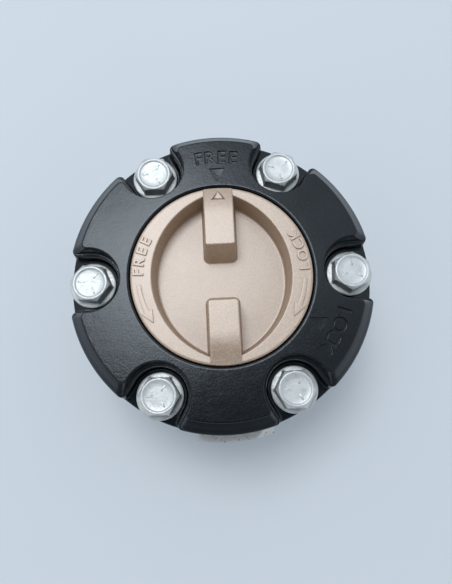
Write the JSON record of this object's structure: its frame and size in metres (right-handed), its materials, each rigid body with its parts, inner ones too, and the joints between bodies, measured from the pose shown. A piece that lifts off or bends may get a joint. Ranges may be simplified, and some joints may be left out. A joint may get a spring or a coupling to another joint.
{
  "type": "manual locking hub",
  "caption": "Manual locking hub for a four-wheel-drive front axle: bolted lobed cover, turning FREE/LOCK dial, and a sliding clutch that couples the axle to the wheel.",
  "frame": {"origin": "on the hub axis, in the plane of the mounting face that bolts to the wheel hub", "axes": "+Z along the hub axis, out of the wheel; +Y towards the FREE mark on the cover; the LOCK mark is 120 degrees clockwise from it, seen from outside"},
  "size_m": [0.1058, 0.1085, 0.0672],
  "materials": {
    "cover_paint": "black satin paint over a die casting, slightly speckled",
    "dial_paint": "champagne metallic paint, satin",
    "raw_casting": "as-cast light alloy, machined on its seats",
    "zinc_plate": "bright zinc plate over forged steel",
    "machined_steel": "turned and broached steel, oiled",
    "spring_steel": "oil-tempered spring steel",
    "stamped_steel": "black phosphated stamping",
    "bearing_bronze": "turned bronze",
    "ball_steel": "polished bearing ball",
    "seal_rubber": "nitrile rubber",
    "gasket_fibre": "compressed fibre sheet"
  },
  "bodies": {
    "housing": {"body": "raw_casting", "hub_ring": "bearing_bronze", "body_snap_ring": "stamped_steel", "cover_gasket": "gasket_fibre", "cover": "cover_paint", "flange_bolts": "zinc_plate", "dowel_pins": "machined_steel", "compression_spring": "spring_steel"},
    "dial": {"dial": "dial_paint", "dial_o_ring": "seal_rubber", "dial_snap_ring": "stamped_steel", "detent_ball": "ball_steel", "detent_spring": "spring_steel"},
    "clutch": {"clutch": "machined_steel", "follower": "stamped_steel", "tension_spring": "spring_steel"},
    "inner": {"inner_hub": "machined_steel", "thrust_washer": "machined_steel", "spacer": "machined_steel", "inner_snap_ring": "stamped_steel"}
  },
  "joints": [
    {"name": "dial_turn", "type": "hinge", "parent": "housing", "child": "dial", "pos_m": [0, 0, 0.04], "axis": [0, 0, 1], "range_deg": [-120, 0]},
    {"name": "clutch_slide", "type": "slide", "parent": "housing", "child": "clutch", "axis": [0, 0, -1], "range_m": [0, 0.008], "deforming": ["compression_spring"]},
    {"name": "inner_spin", "type": "hinge", "parent": "housing", "child": "inner", "pos_m": [0, 0, 0], "axis": [0, 0, 1], "continuous": true}
  ],
  "couplings": [
    {"joint": "clutch_slide", "follows": "dial_turn", "m_per_rad": -0.0038197}
  ]
}
